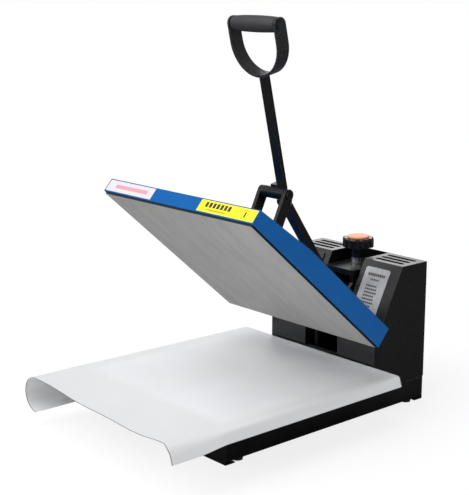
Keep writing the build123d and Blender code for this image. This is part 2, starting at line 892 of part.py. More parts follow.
def lever():
    """Sleeve on the cross shaft, bar behind it, D handle on top and the link's pin below."""
    front = bar_offset - bar_deep / 2
    with BuildPart() as sleeve:
        with BuildSketch(lever_side):
            Circle(sleeve_r)
        extrude(amount=post_inner - 1.0, both=True)
        with BuildSketch(lever_side):
            with Locations((front / 2, 2)):
                Rectangle(front, 26)
        extrude(amount=bar_wide / 2, both=True)
        with BuildSketch(lever_side):
            Circle(shaft_r + running)
        extrude(amount=post_inner, both=True, mode=Mode.SUBTRACT)
    finish(sleeve, "lever_sleeve")

    with BuildPart() as bar:
        with BuildSketch(lever_side):
            with Locations((bar_offset, 98)):
                Rectangle(bar_deep, 216)
        extrude(amount=bar_wide / 2, both=True)
        with BuildSketch(lever_side):
            with Locations((bar_offset, -link_pin_drop)):
                Circle(tongue_r)
            with Locations((bar_offset, -link_pin_drop / 2 - 5)):
                Rectangle(bar_deep, link_pin_drop - 10)
        extrude(amount=tongue_wide / 2, both=True)
        with BuildSketch(lever_side):
            with Locations((bar_offset, -link_pin_drop)):
                Circle(link_pin_r)
        extrude(amount=tongue_wide, both=True, mode=Mode.SUBTRACT)
        with BuildSketch(lever_face.offset(-bar_offset)):
            with Locations((0, strap_up)):
                Circle(strap_r)
        extrude(amount=strap_deep, both=True, mode=Mode.SUBTRACT)
    finish(bar, "lever_bar")

    with BuildPart() as pin:
        with BuildSketch(link_side):
            Circle(link_pin_r)
        extrude(amount=link_wide / 2 + 0.6, both=True)
        for side in (-1, 1):
            with BuildSketch(link_side.offset(side * (link_wide / 2 + 0.6))):
                Circle(6)
            extrude(amount=side * 2.4)
    finish(pin, "link_pin")

    with BuildPart() as bolts:
        with BuildSketch(lever_face.offset(-bar_offset - bar_deep / 2)):
            with Locations((0, -3), (0, 9)):
                RegularPolygon(4.5, 6, major_radius=False)
        extrude(amount=-3.5)
    finish(bolts, "saddle_bolts")


def handle():
    """Flat strap bent to a D, a tie rod across its open ends and a soft grip on the rod."""
    inner = strap_r - strap_thick
    with BuildPart() as strap:
        with BuildSketch(lever_face.offset(-bar_offset)):
            with Locations((0, strap_up)):
                Circle(strap_r)
            with Locations((0, (strap_up + grip_up + 13) / 2)):
                Rectangle(2 * strap_r, grip_up + 13 - strap_up)
            with Locations((0, strap_up)):
                Circle(inner, mode=Mode.SUBTRACT)
            with Locations((0, (strap_up + grip_up + 60) / 2)):
                Rectangle(2 * inner, grip_up + 60 - strap_up, mode=Mode.SUBTRACT)
        extrude(amount=strap_deep / 2, both=True)
        with BuildSketch(lever_side):
            with Locations((bar_offset, grip_up + 30)):
                Rectangle(60, 60)
            with Locations((bar_offset, grip_up)):
                Circle(strap_deep / 2, mode=Mode.SUBTRACT)
        extrude(amount=strap_r + 5, both=True, mode=Mode.SUBTRACT)
        with BuildSketch(lever_side):
            with Locations((bar_offset, grip_up)):
                Circle(4)
        extrude(amount=strap_r + 5, both=True, mode=Mode.SUBTRACT)
    finish(strap, "handle_strap")

    with BuildPart() as rod:
        with BuildSketch(lever_side):
            with Locations((bar_offset, grip_up)):
                Circle(4)
        extrude(amount=strap_r, both=True)
        for side in (-1, 1):
            with BuildSketch(lever_side.offset(side * strap_r)):
                with Locations((bar_offset, grip_up)):
                    Circle(7)
            extrude(amount=side * 3)
    finish(rod, "handle_rod")

    with BuildPart() as grip:
        with BuildSketch(lever_face.offset(-bar_offset)):
            with BuildLine():
                ThreePointArc(
                    (-inner + 0.5, grip_up + grip_r - 1.5),
                    (0, grip_up + grip_r),
                    (inner - 0.5, grip_up + grip_r - 1.5),
                )
                Polyline(
                    (inner - 0.5, grip_up + grip_r - 1.5),
                    (inner - 0.5, grip_up + 4),
                    (-inner + 0.5, grip_up + 4),
                    (-inner + 0.5, grip_up + grip_r - 1.5),
                )
            make_face()
        middle = lever_face.offset(-bar_offset).from_local_coords(Vector(0, grip_up, 0))
        revolve(axis=Axis(middle, (1, 0, 0)))
    finish(grip, "handle_grip")


def connecting_link():
    """Forked bar from the lever's pin back to the anchor, whose eye has play around its pin."""
    eye_r = anchor_r + anchor_play
    with BuildPart() as link:
        with BuildSketch(link_side):
            with Locations(((11 + link_length) / 2, 0)):
                Rectangle(link_length - 11, link_deep)
        extrude(amount=link_wide / 2, both=True)
        with BuildSketch(link_side):
            Circle(tongue_r)
            with Locations((12, 0)):
                Rectangle(24, link_deep)
        extrude(amount=link_wide / 2, both=True)
        with BuildSketch(link_side):
            Circle(tongue_r + 1.5)
            with Locations((-6, 0)):
                Rectangle(20, 40)
        extrude(amount=tongue_wide / 2 + 0.4, both=True, mode=Mode.SUBTRACT)
        with BuildSketch(link_side):
            with Locations((link_length, 0)):
                Circle(eye_r + 4.4)
        extrude(amount=link_wide / 2, both=True)
        with BuildSketch(link_side):
            with Locations((link_length, 0)):
                Circle(eye_r)
            Circle(link_pin_r + running)
        extrude(amount=link_wide, both=True, mode=Mode.SUBTRACT)
    finish(link, "connecting_link")


base()
tower(-1, "left")
tower(1, "right")
rear_panel()
rear_electrics()
inner_electrics()
controller()
rating_plate()
lower_platen()
loose_sheet()
hinge_brackets()
pressure_anchor()
pressure_knob()
heating_head()
arm()
lever()
handle()
connecting_link()

print("pivot", round(pivot_y, 2), round(pivot_z, 2), "hinge", hinge_y, round(hinge_z, 2))
print("link pin", round(link_y, 2), round(link_z, 2), "length", round(link_length, 2))
print("head rim rear edge", round(rim_y_open, 2), round(rim_z_open, 2))
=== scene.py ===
"""Looks of the clamshell heat press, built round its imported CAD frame.  Metres, +X right, +Y rear, +Z up."""

import json
import math

import bpy
import numpy as np
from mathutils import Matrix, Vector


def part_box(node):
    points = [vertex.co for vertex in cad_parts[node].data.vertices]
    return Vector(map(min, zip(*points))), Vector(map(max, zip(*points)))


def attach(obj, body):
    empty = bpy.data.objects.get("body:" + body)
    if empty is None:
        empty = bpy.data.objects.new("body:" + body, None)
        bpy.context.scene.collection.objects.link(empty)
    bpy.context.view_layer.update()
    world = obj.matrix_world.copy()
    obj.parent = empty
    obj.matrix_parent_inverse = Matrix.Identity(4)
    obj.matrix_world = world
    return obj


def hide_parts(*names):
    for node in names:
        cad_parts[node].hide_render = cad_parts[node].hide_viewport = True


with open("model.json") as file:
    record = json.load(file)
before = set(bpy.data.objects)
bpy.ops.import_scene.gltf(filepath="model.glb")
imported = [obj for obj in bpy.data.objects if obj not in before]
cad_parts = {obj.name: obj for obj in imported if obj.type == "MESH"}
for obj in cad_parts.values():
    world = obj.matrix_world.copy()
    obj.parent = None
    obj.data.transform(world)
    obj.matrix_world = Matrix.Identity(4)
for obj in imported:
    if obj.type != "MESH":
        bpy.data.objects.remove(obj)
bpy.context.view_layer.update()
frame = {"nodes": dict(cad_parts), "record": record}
record = frame["record"]
nodes = frame["nodes"]
mm = 0.001


# ---------------------------------------------------------------- frames of the moving head and the slope
def joint_named(name):
    """The record's row of one joint."""
    return next(j for j in record["behaviour"]["joints"] if j["name"] == name)


head_joint = joint_named("head_hinge")
hinge_point = np.array(head_joint["pos_m"])
open_angle = math.radians(max(head_joint["range_deg"]))
hinge_back = 53.0 * mm  # hinge behind the cover's rear rim
hinge_up = 92.5 * mm  # hinge above the cover's rim
right = np.array([1.0, 0.0, 0.0])
head_forward = np.array([0.0, -math.cos(open_angle), math.sin(open_angle)])
head_out = np.array([0.0, math.sin(open_angle), math.cos(open_angle)])
rim_rear = hinge_point + hinge_back * head_forward - hinge_up * head_out

tower_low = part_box("tower_right")[0]
plate_low, plate_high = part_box("rating_plate")
slope_run, slope_rise = 68.1, 133.0  # the towers' sloping front, back and up
slope_up = np.array([0.0, slope_run, slope_rise]) / math.hypot(slope_run, slope_rise)
slope_out = np.array([0.0, -slope_up[2], slope_up[1]])


# ---------------------------------------------------------------- node groups
def new_group(name, inputs, outputs):
    """An empty shader node group with named sockets, and its two end nodes."""
    group = bpy.data.node_groups.new(name, "ShaderNodeTree")
    for label, kind, value in inputs:
        socket = group.interface.new_socket(label, in_out="INPUT", socket_type=kind)
        if value is not None:
            socket.default_value = value
    for label, kind in outputs:
        group.interface.new_socket(label, in_out="OUTPUT", socket_type=kind)
    return group, group.nodes.new("NodeGroupInput"), group.nodes.new("NodeGroupOutput")


def add(tree, kind, settings=None, **links):
    """Add a node, set its properties, and link or set its inputs by name (spaces written as _)."""
    node = tree.nodes.new(kind)
    for key, value in (settings or {}).items():
        setattr(node, key, value)
    for key, value in links.items():
        numbered = key[0] == "i" and key[1:].isdigit()
        socket = node.inputs[int(key[1:]) if numbered else key.replace("_", " ")]
        if isinstance(value, bpy.types.NodeSocket):
            tree.links.new(value, socket)
        else:
            socket.default_value = value
    return node


def math_node(tree, operation, a, b=0.0, clamp=False):
    return add(tree, "ShaderNodeMath", {"operation": operation, "use_clamp": clamp}, i0=a, i1=b).outputs[0]


def mix_colour(tree, factor, a, b, blend="MIX"):
    node = add(tree, "ShaderNodeMix", {"data_type": "RGBA", "blend_type": blend})
    for index, value in ((0, factor), (6, a), (7, b)):
        if isinstance(value, bpy.types.NodeSocket):
            tree.links.new(value, node.inputs[index])
        else:
            node.inputs[index].default_value = value
    return node.outputs[2]


def remap(tree, value, low, high, to_low, to_high):
    return add(tree, "ShaderNodeMapRange", {}, Value=value, From_Min=low, From_Max=high,
               To_Min=to_low, To_Max=to_high).outputs["Result"]


COLOUR, VALUE, VECTOR = "NodeSocketColor", "NodeSocketFloat", "NodeSocketVector"


def build_mottle():
    """Two noises: a fine one for the skin's relief and a broad one for handled, uneven gloss and colour."""
    g, start, end = new_group("mottle", [
        ("Vector", VECTOR, None), ("Colour", COLOUR, (0.5, 0.5, 0.5, 1)),
        ("Second Colour", COLOUR, (0.4, 0.4, 0.4, 1)),
        ("Grain Scale", VALUE, 900.0), ("Patch Scale", VALUE, 18.0),
        ("Rough Low", VALUE, 0.3), ("Rough High", VALUE, 0.5)],
        [("Colour", COLOUR), ("Roughness", VALUE), ("Height", VALUE)])
    s = start.outputs
    fine = add(g, "ShaderNodeTexNoise", {}, Vector=s["Vector"], Scale=s["Grain Scale"], Detail=2.0)
    patch = add(g, "ShaderNodeTexNoise", {}, Vector=s["Vector"], Scale=s["Patch Scale"], Detail=5.0,
                Roughness=0.65)
    soft = remap(g, patch.outputs["Fac"], 0.35, 0.68, 0.0, 1.0)
    g.links.new(mix_colour(g, soft, s["Colour"], s["Second Colour"]), end.inputs["Colour"])
    level = add(g, "ShaderNodeMapRange", {}, Value=soft, From_Min=0.0, From_Max=1.0,
                To_Min=s["Rough Low"], To_Max=s["Rough High"])
    g.links.new(level.outputs["Result"], end.inputs["Roughness"])
    g.links.new(fine.outputs["Fac"], end.inputs["Height"])
    return g


def build_brushed():
    """Long streaks: noise on coordinates already squeezed along the grain, with a broad stain over them."""
    g, start, end = new_group("brushed", [
        ("Vector", VECTOR, None), ("Stretched Vector", VECTOR, None), ("Dark", COLOUR, (0.3, 0.3, 0.3, 1)),
        ("Light", COLOUR, (0.6, 0.6, 0.6, 1)), ("Streak Scale", VALUE, 60.0), ("Stain Scale", VALUE, 7.0),
        ("Rough Low", VALUE, 0.3), ("Rough High", VALUE, 0.5)],
        [("Colour", COLOUR), ("Roughness", VALUE), ("Height", VALUE)])
    s = start.outputs
    streak = add(g, "ShaderNodeTexNoise", {}, Vector=s["Stretched Vector"], Scale=s["Streak Scale"],
                 Detail=6.0, Roughness=0.6)
    stain = add(g, "ShaderNodeTexNoise", {}, Vector=s["Vector"], Scale=s["Stain Scale"], Detail=3.0)
    lines = remap(g, streak.outputs["Fac"], 0.3, 0.7, 0.0, 1.0)
    broad = remap(g, stain.outputs["Fac"], 0.3, 0.7, 0.0, 1.0)
    both = math_node(g, "ADD", math_node(g, "MULTIPLY", lines, 0.6), math_node(g, "MULTIPLY", broad, 0.4),
                     True)
    g.links.new(mix_colour(g, both, s["Dark"], s["Light"]), end.inputs["Colour"])
    level = add(g, "ShaderNodeMapRange", {}, Value=lines, From_Min=0.0, From_Max=1.0,
                To_Min=s["Rough High"], To_Max=s["Rough Low"])
    g.links.new(level.outputs["Result"], end.inputs["Roughness"])
    g.links.new(streak.outputs["Fac"], end.inputs["Height"])
    return g


def build_edge_wear():
    """Where the rounded normal leaves the true one there is an edge; noise breaks it into chips and rubs."""
    g, start, end = new_group("edge_wear", [
        ("Vector", VECTOR, None), ("Colour", COLOUR, (0.5, 0.5, 0.5, 1)),
        ("Worn Colour", COLOUR, (0.3, 0.3, 0.3, 1)),
        ("Radius", VALUE, 0.0007), ("Amount", VALUE, 0.5)],
        [("Colour", COLOUR), ("Mask", VALUE), ("Normal", VECTOR)])
    s = start.outputs
    soft = add(g, "ShaderNodeBevel", {"samples": 4}, Radius=s["Radius"])
    true = add(g, "ShaderNodeNewGeometry")
    dot = add(g, "ShaderNodeVectorMath", {"operation": "DOT_PRODUCT"}, i0=soft.outputs[0],
              i1=true.outputs["Normal"])
    edge = remap(g, dot.outputs["Value"], 0.97, 0.8, 0.0, 1.0)
    chips = add(g, "ShaderNodeTexNoise", {}, Vector=s["Vector"], Scale=140.0, Detail=4.0)
    broken = remap(g, chips.outputs["Fac"], 0.42, 0.62, 0.0, 1.0)
    mask = math_node(g, "MULTIPLY", math_node(g, "MULTIPLY", edge, broken), s["Amount"], True)
    g.links.new(mix_colour(g, mask, s["Colour"], s["Worn Colour"]), end.inputs["Colour"])
    g.links.new(mask, end.inputs["Mask"])
    g.links.new(soft.outputs[0], end.inputs["Normal"])
    return g


def build_dust():
    """Pale dust on surfaces that face up, patchy and thin."""
    g, start, end = new_group("settled_dust", [
        ("Vector", VECTOR, None), ("Own Normal", VECTOR, None), ("Colour", COLOUR, (0.5, 0.5, 0.5, 1)),
        ("Dust Colour", COLOUR, (0.35, 0.34, 0.32, 1)), ("Amount", VALUE, 0.1)], [("Colour", COLOUR)])
    s = start.outputs
    facing = add(g, "ShaderNodeSeparateXYZ", {}, Vector=s["Own Normal"]).outputs["Z"]
    up = remap(g, facing, 0.3, 1.0, 0.0, 1.0)
    patchy = add(g, "ShaderNodeTexNoise", {}, Vector=s["Vector"], Scale=25.0, Detail=6.0, Roughness=0.7)
    cover = math_node(g, "MULTIPLY", math_node(g, "MULTIPLY", up, patchy.outputs["Fac"]), s["Amount"], True)
    g.links.new(mix_colour(g, cover, s["Colour"], s["Dust Colour"]), end.inputs["Colour"])
    return g


def build_weave():
    """Plain weave: two square-on sine ribs in the sheet's own coordinates, crossed over and under."""
    g, start, end = new_group("plain_weave", [
        ("Vector", VECTOR, None), ("Thread Scale", VALUE, 500.0), ("Crease Scale", VALUE, 9.0)],
        [("Height", VALUE), ("Crease", VALUE)])
    s = start.outputs
    ribs = []
    for direction in ("X", "Y"):
        wave = add(g, "ShaderNodeTexWave", {"wave_type": "BANDS", "bands_direction": direction},
                   Vector=s["Vector"], Scale=s["Thread Scale"], Distortion=0.4)
        ribs.append(wave.outputs["Fac"])
    crease = add(g, "ShaderNodeTexNoise", {}, Vector=s["Vector"], Scale=s["Crease Scale"], Detail=3.0,
                 Distortion=0.6)
    g.links.new(math_node(g, "MAXIMUM", ribs[0], ribs[1]), end.inputs["Height"])
    g.links.new(crease.outputs["Fac"], end.inputs["Crease"])
    return g


MOTTLE, BRUSHED, WEAR = build_mottle(), build_brushed(), build_edge_wear()
DUST, WEAVE = build_dust(), build_weave()


# ---------------------------------------------------------------- materials
def rgba(*colour):
    return (*colour, 1.0)


def place(tree, group, **inputs):
    """Put a node group in a material with its own values."""
    node = tree.nodes.new("ShaderNodeGroup")
    node.node_tree = group
    for key, value in inputs.items():
        socket = node.inputs[key.replace("_", " ")]
        if isinstance(value, bpy.types.NodeSocket):
            tree.links.new(value, socket)
        else:
            socket.default_value = value
    return node


def start_material(name, **shader):
    """A material with its shader's uniform values set on the shader itself."""
    material = bpy.data.materials.new(name)
    material.use_nodes = True
    tree = material.node_tree
    shade = tree.nodes["Principled BSDF"]
    for key, value in shader.items():
        shade.inputs[key.replace("_", " ")].default_value = value
    place_in = tree.nodes.new("ShaderNodeTexCoord")
    return material, tree, shade, place_in


def bump(tree, shade, height, strength, distance, normal=None):
    node = add(tree, "ShaderNodeBump", {}, Strength=strength, Distance=distance, Height=height)
    if normal is not None:
        tree.links.new(normal, node.inputs["Normal"])
    tree.links.new(node.outputs["Normal"], shade.inputs["Normal"])


def coated(name, colour, second, rough=(0.3, 0.45), grain=900.0, patch=16.0, relief=0.00004, strength=0.25,
           worn=(0.22, 0.22, 0.23), wear=0.25, radius=0.0007, dust=0.08, **shader):
    """Paint or moulded plastic: mottled skin, worn edges, a little dust."""
    material, tree, shade, place_in = start_material(name, **shader)
    own = place_in.outputs["Object"]
    skin = place(tree, MOTTLE, Vector=own, Colour=rgba(*colour), Second_Colour=rgba(*second),
                 Grain_Scale=grain, Patch_Scale=patch, Rough_Low=rough[0], Rough_High=rough[1])
    edges = place(tree, WEAR, Vector=own, Colour=skin.outputs["Colour"], Worn_Colour=rgba(*worn),
                  Radius=radius, Amount=wear)
    last = place(tree, DUST, Vector=own, Own_Normal=place_in.outputs["Normal"],
                 Colour=edges.outputs["Colour"], Amount=dust)
    tree.links.new(last.outputs["Colour"], shade.inputs["Base Color"])
    tree.links.new(skin.outputs["Roughness"], shade.inputs["Roughness"])
    bump(tree, shade, skin.outputs["Height"], strength, relief, edges.outputs["Normal"])
    return material


def metal(name, dark, light, stretch=(1.0, 1.0, 1.0), rough=(0.25, 0.45), streak=60.0, stain=7.0,
          relief=0.00003, strength=0.2, radius=0.0005, **shader):
    """Brushed or turned metal: streaks squeezed along the grain."""
    material, tree, shade, place_in = start_material(name, **shader)
    own = place_in.outputs["Object"]
    squeezed = add(tree, "ShaderNodeMapping", {}, Vector=own, Scale=stretch).outputs["Vector"]
    skin = place(tree, BRUSHED, Vector=own, Stretched_Vector=squeezed, Dark=rgba(*dark), Light=rgba(*light),
                 Streak_Scale=streak, Stain_Scale=stain, Rough_Low=rough[0], Rough_High=rough[1])
    edges = place(tree, WEAR, Vector=own, Colour=skin.outputs["Colour"], Worn_Colour=rgba(*light),
                  Radius=radius, Amount=0.4)
    tree.links.new(edges.outputs["Colour"], shade.inputs["Base Color"])
    tree.links.new(skin.outputs["Roughness"], shade.inputs["Roughness"])
    bump(tree, shade, skin.outputs["Height"], strength, relief, edges.outputs["Normal"])
    return material


BLACK, BLACK_2 = (0.0025, 0.0026, 0.0031), (0.004, 0.0041, 0.0048)
base_black = coated("satin_black_powder", BLACK, BLACK_2, rough=(0.3, 0.44), strength=0.3, dust=0.015,
                    wear=0.35, radius=0.0012, Specular_IOR_Level=0.42)
tower_black = coated("tower_black_powder", BLACK, BLACK_2, rough=(0.24, 0.34), strength=0.2, dust=0.01,
                     wear=0.35, radius=0.0014, Specular_IOR_Level=0.5)
arm_black = coated("gloss_black_enamel", (0.003, 0.003, 0.0034), (0.0045, 0.0045, 0.005), rough=(0.2, 0.32),
                   grain=500.0, dust=0.0, wear=0.35, radius=0.0014, Specular_IOR_Level=0.45)
hammered = coated("hammered_black_enamel", (0.003, 0.0032, 0.004), (0.007, 0.0075, 0.01), rough=(0.16, 0.28),
                  grain=330.0, patch=70.0, relief=0.004, strength=1.0, dust=0.0, Specular_IOR_Level=0.6)
blue_paint = coated("blue_powder_coat", (0.0008, 0.1, 0.345), (0.0006, 0.085, 0.3), rough=(0.4, 0.52),
                    grain=1100.0, worn=(0.02, 0.2, 0.5), wear=0.5, dust=0.0, Specular_IOR_Level=0.12)
gloss_plastic = coated("gloss_black_plastic", (0.007, 0.007, 0.008), (0.01, 0.01, 0.011), rough=(0.1, 0.2),
                       grain=300.0, relief=0.00002, strength=0.15, radius=0.0016, dust=0.01,
                       Specular_IOR_Level=0.3, Coat_Weight=0.1, Coat_Roughness=0.05)
matt_plastic = coated("matt_black_plastic", (0.016, 0.016, 0.018), (0.022, 0.022, 0.024), rough=(0.45, 0.6),
                      grain=1400.0, strength=0.4)
peach_plastic = coated("peach_plastic", (0.88, 0.34, 0.18), (0.8, 0.27, 0.13), rough=(0.3, 0.42), patch=40.0,
                       worn=(0.95, 0.5, 0.32), wear=0.4, dust=0.05, radius=0.0006)
grip_rubber = coated("matt_grip_rubber", (0.017, 0.017, 0.02), (0.024, 0.024, 0.028), rough=(0.5, 0.66),
                     grain=1300.0, patch=45.0, relief=0.0001, strength=0.5, worn=(0.05, 0.05, 0.055),
                     wear=0.3, dust=0.04)
foot_rubber = coated("foot_rubber", (0.02, 0.02, 0.02), (0.03, 0.03, 0.03), rough=(0.7, 0.85), grain=700.0,
                     dust=0.3)
board_green = coated("board_lacquer", (0.012, 0.15, 0.05), (0.01, 0.11, 0.04), rough=(0.3, 0.4), grain=400.0)
smoked_window = coated("smoked_window", (0.014, 0.004, 0.004), (0.018, 0.006, 0.006), rough=(0.05, 0.1),
                       relief=0.00001, strength=0.05, wear=0.0, Coat_Weight=0.8, Coat_Roughness=0.03)
lamp_red = coated("red_lamp", (0.6, 0.025, 0.015), (0.5, 0.02, 0.012), rough=(0.12, 0.2), patch=200.0,
                  Emission_Strength=0.0, Coat_Weight=0.5)
plate_metal = metal("brushed_heat_plate", (0.27, 0.268, 0.262), (0.36, 0.357, 0.35), stretch=(2.6, 0.5, 0.5),
                    rough=(0.45, 0.62), streak=16.0, stain=6.0, Metallic=0.15)
cast_metal = metal("cast_platen", (0.3, 0.3, 0.3), (0.45, 0.45, 0.44), stretch=(2.0, 2.0, 2.0),
                   rough=(0.4, 0.6), streak=40.0, Metallic=0.9)
zinc = metal("zinc_plated_steel", (0.4, 0.4, 0.4), (0.68, 0.68, 0.66), stretch=(1.0, 1.0, 6.0),
             rough=(0.22, 0.4), streak=90.0, stain=60.0, Metallic=1.0)
chrome = metal("bright_chrome", (0.82, 0.82, 0.83), (0.95, 0.95, 0.95), stretch=(1.0, 1.0, 3.0),
               rough=(0.14, 0.24), streak=120.0, stain=80.0, Metallic=1.0)
heater_metal = metal("heater_sheath", (0.2, 0.19, 0.18), (0.34, 0.32, 0.3), rough=(0.4, 0.6), streak=80.0,
                     Metallic=0.9)
label_metal = metal("silver_label", (0.3, 0.3, 0.315), (0.5, 0.5, 0.52), stretch=(6.0, 0.4, 0.4),
                    rough=(0.3, 0.42), streak=30.0, stain=9.0, Metallic=0.55)


def paint_side_shade(material, facing, dark):
    """Painted shade: faces that don't look along one direction turn dark, standing in for the shadowed gap
    round the heat plate's rim.
    """
    tree = material.node_tree
    shade = tree.nodes["Principled BSDF"]
    link = shade.inputs["Base Color"].links[0]
    own = add(tree, "ShaderNodeTexCoord").outputs["Normal"]
    dot = add(tree, "ShaderNodeVectorMath", {"operation": "DOT_PRODUCT"}, i0=own,
              i1=tuple(facing)).outputs["Value"]
    level = remap(tree, math_node(tree, "ABSOLUTE", dot), 0.85, 0.95, 0.0, 1.0)
    tree.links.new(mix_colour(tree, level, rgba(*dark), link.from_socket), shade.inputs["Base Color"])


# painted shade: the heat plate's side faces are darkened in their colour, for the shadow in the gap under the
# cover's rim
paint_side_shade(plate_metal, head_out, (0.012, 0.012, 0.013))
mineral_fibre = coated("mineral_fibre", (0.72, 0.7, 0.62), (0.62, 0.6, 0.52), rough=(0.85, 0.95), grain=500.0,
                       patch=70.0, relief=0.0006, strength=0.8, wear=0.0)
white_label = coated("white_label", (0.66, 0.63, 0.68), (0.6, 0.57, 0.62), rough=(0.3, 0.42), wear=0.0,
                     dust=0.02)
yellow_label = coated("yellow_label", (0.9, 0.82, 0.01), (0.84, 0.74, 0.01), rough=(0.3, 0.42), wear=0.0,
                      dust=0.02)
pink_ink = coated("pink_ink", (0.72, 0.22, 0.3), (0.62, 0.16, 0.24), rough=(0.4, 0.5), patch=300.0, wear=0.0,
                  dust=0.0)
black_ink = coated("black_ink", (0.02, 0.018, 0.01), (0.035, 0.03, 0.015), rough=(0.4, 0.5), patch=300.0,
                   wear=0.0, dust=0.0)
white_ink = coated("white_ink", (0.7, 0.7, 0.7), (0.6, 0.6, 0.6), rough=(0.4, 0.5), patch=300.0, wear=0.0,
                   dust=0.0)


def digit_glow():
    """Lit red segments, a little uneven."""
    material, tree, shade, place_in = start_material("lit_segments", Roughness=0.4, Emission_Strength=2.5)
    skin = place(tree, MOTTLE, Vector=place_in.outputs["Object"], Colour=rgba(0.9, 0.03, 0.01),
                 Second_Colour=rgba(0.7, 0.02, 0.01), Patch_Scale=400.0)
    tree.links.new(skin.outputs["Colour"], shade.inputs["Base Color"])
    tree.links.new(skin.outputs["Colour"], shade.inputs["Emission Color"])
    return material


def sheet_cloth():
    """Thin coated glass cloth, painted a little brighter and bluer in patches where the pad lies under it:
    painted light.
    """
    material, tree, shade, place_in = start_material("coated_glass_cloth", Specular_IOR_Level=0.35,
                                                     Sheen_Weight=0.1)
    own = place_in.outputs["Object"]
    weave = place(tree, WEAVE, Vector=own, Thread_Scale=420.0, Crease_Scale=8.0)
    axes = add(tree, "ShaderNodeSeparateXYZ", {}, Vector=own).outputs
    low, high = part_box("silicone_pad")
    inside = None
    for axis, (first, second) in (("X", (low[0], high[0] - 0.022)), ("Y", (low[1], high[1]))):
        for edge, sign in ((first, 1.0), (second, -1.0)):
            step = remap(tree, math_node(tree, "MULTIPLY", axes[axis], sign), sign * edge - 0.004,
                         sign * edge + 0.016, 0.0, 1.0)
            inside = step if inside is None else math_node(tree, "MULTIPLY", inside, step)
    # painted light: the same cloth gets a brighter, bluer colour in patches over the pad, and the roll and
    # fold keep the darker base
    painted_light_mask = math_node(tree, "MULTIPLY", inside, remap(tree, weave.outputs["Crease"], 0.25, 0.75, 0.35, 1.0),
                      True)
    painted_light_over_pad = mix_colour(tree, weave.outputs["Crease"], rgba(0.74, 0.76, 0.8), rgba(0.82, 0.83, 0.85))
    cloth = mix_colour(tree, painted_light_mask, rgba(0.72, 0.725, 0.735), painted_light_over_pad)
    edge = add(tree, "ShaderNodeAttribute", {"attribute_name": "cut_edge"}).outputs["Fac"]
    tree.links.new(mix_colour(tree, edge, cloth, rgba(0.16, 0.15, 0.14)), shade.inputs["Base Color"])
    tree.links.new(remap(tree, weave.outputs["Crease"], 0.3, 0.7, 0.4, 0.58), shade.inputs["Roughness"])
    relief = math_node(tree, "ADD", math_node(tree, "MULTIPLY", weave.outputs["Crease"], 6.0),
                       weave.outputs["Height"])
    bump(tree, shade, relief, 0.3, 0.0004)
    return material


def sponge():
    """Closed silicone sponge: fine pores in a pale matt skin."""
    material, tree, shade, place_in = start_material("silicone_sponge", Subsurface_Weight=0.1)
    own = place_in.outputs["Object"]
    skin = place(tree, MOTTLE, Vector=own, Colour=rgba(0.62, 0.62, 0.64), Second_Colour=rgba(0.5, 0.5, 0.53),
                 Grain_Scale=1500.0, Patch_Scale=12.0, Rough_Low=0.7, Rough_High=0.85)
    pores = add(tree, "ShaderNodeTexVoronoi", {}, Vector=own, Scale=700.0).outputs["Distance"]
    tree.links.new(skin.outputs["Colour"], shade.inputs["Base Color"])
    tree.links.new(skin.outputs["Roughness"], shade.inputs["Roughness"])
    bump(tree, shade, pores, 0.5, 0.0003)
    return material


FINISHES = {
    tower_black: "tower_left tower_right rear_panel",
    base_black: "base_deck base_rails base_front_panel base_rear_panel hinge_bracket_left "
                "hinge_bracket_right pressure_bridge anchor_yoke platen_legs platen_bars",
    arm_black: "arm_base_plate arm_cheeks lever_post_left lever_post_right lever_bar lever_sleeve "
               "connecting_link post_bolts pivot_shaft",
    hammered: "handle_strap handle_rod",
    blue_paint: "head_cover",
    foot_rubber: "rubber_feet",
    zinc: "rear_panel_screws plate_studs link_pin hinge_pins anchor_pin pressure_screw plate_spacers",
    chrome: "knob_collar saddle_bolts",
    gloss_plastic: "pressure_knob power_rocker fuse_holder",
    peach_plastic: "knob_cap",
    plate_metal: "heat_plate",
    cast_metal: "lower_platen relay_on_heat_sink",
    heater_metal: "heating_element thermostat",
    mineral_fibre: "insulation_blanket",
    label_metal: "rating_plate",
    matt_plastic: "controller_bezel controller_case inlet_socket switch_bezel button_up button_down "
                  "button_mode button_start",
    board_green: "controller_board",
    smoked_window: "display_window",
    lamp_red: "indicator_lamps",
}
for finish, names in FINISHES.items():
    for name in names.split():
        nodes[name].data.materials.clear()
        nodes[name].data.materials.append(finish)


# ---------------------------------------------------------------- mesh helpers
def new_piece(name, points, faces, body, finish, smooth=True):
    """One mesh in world metres, its object at the origin."""
    mesh = bpy.data.meshes.new(name)
    mesh.from_pydata(np.asarray(points, float).reshape(-1, 3).tolist(), [], faces)
    mesh.materials.append(finish)
    mesh.polygons.foreach_set("use_smooth", np.full(len(mesh.polygons), smooth))
    mesh.update()
    piece = bpy.data.objects.new(name, mesh)
    bpy.context.scene.collection.objects.link(piece)
    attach(piece, body)
    return piece


def quads(rows, columns, closed=False):
    """Faces of a grid of points, row after row; closed joins the last column to the first."""
    count = columns if closed else columns - 1
    i, j = np.meshgrid(np.arange(rows - 1), np.arange(count), indexing="ij")
    k = (j + 1) % columns
    return np.stack([i * columns + j, i * columns + k, (i + 1) * columns + k, (i + 1) * columns + j],
                    -1).reshape(-1, 4).tolist()


def tube(name, rings, body, finish):
    """A surface through closed rings of points (ring, point, xyz), its two ends closed by flat faces."""
    rows, columns = rings.shape[:2]
    faces = quads(rows, columns, closed=True)
    faces.append(list(range(columns))[::-1])
    faces.append([(rows - 1) * columns + c for c in range(columns)])
    return new_piece(name, rings, faces, body, finish)


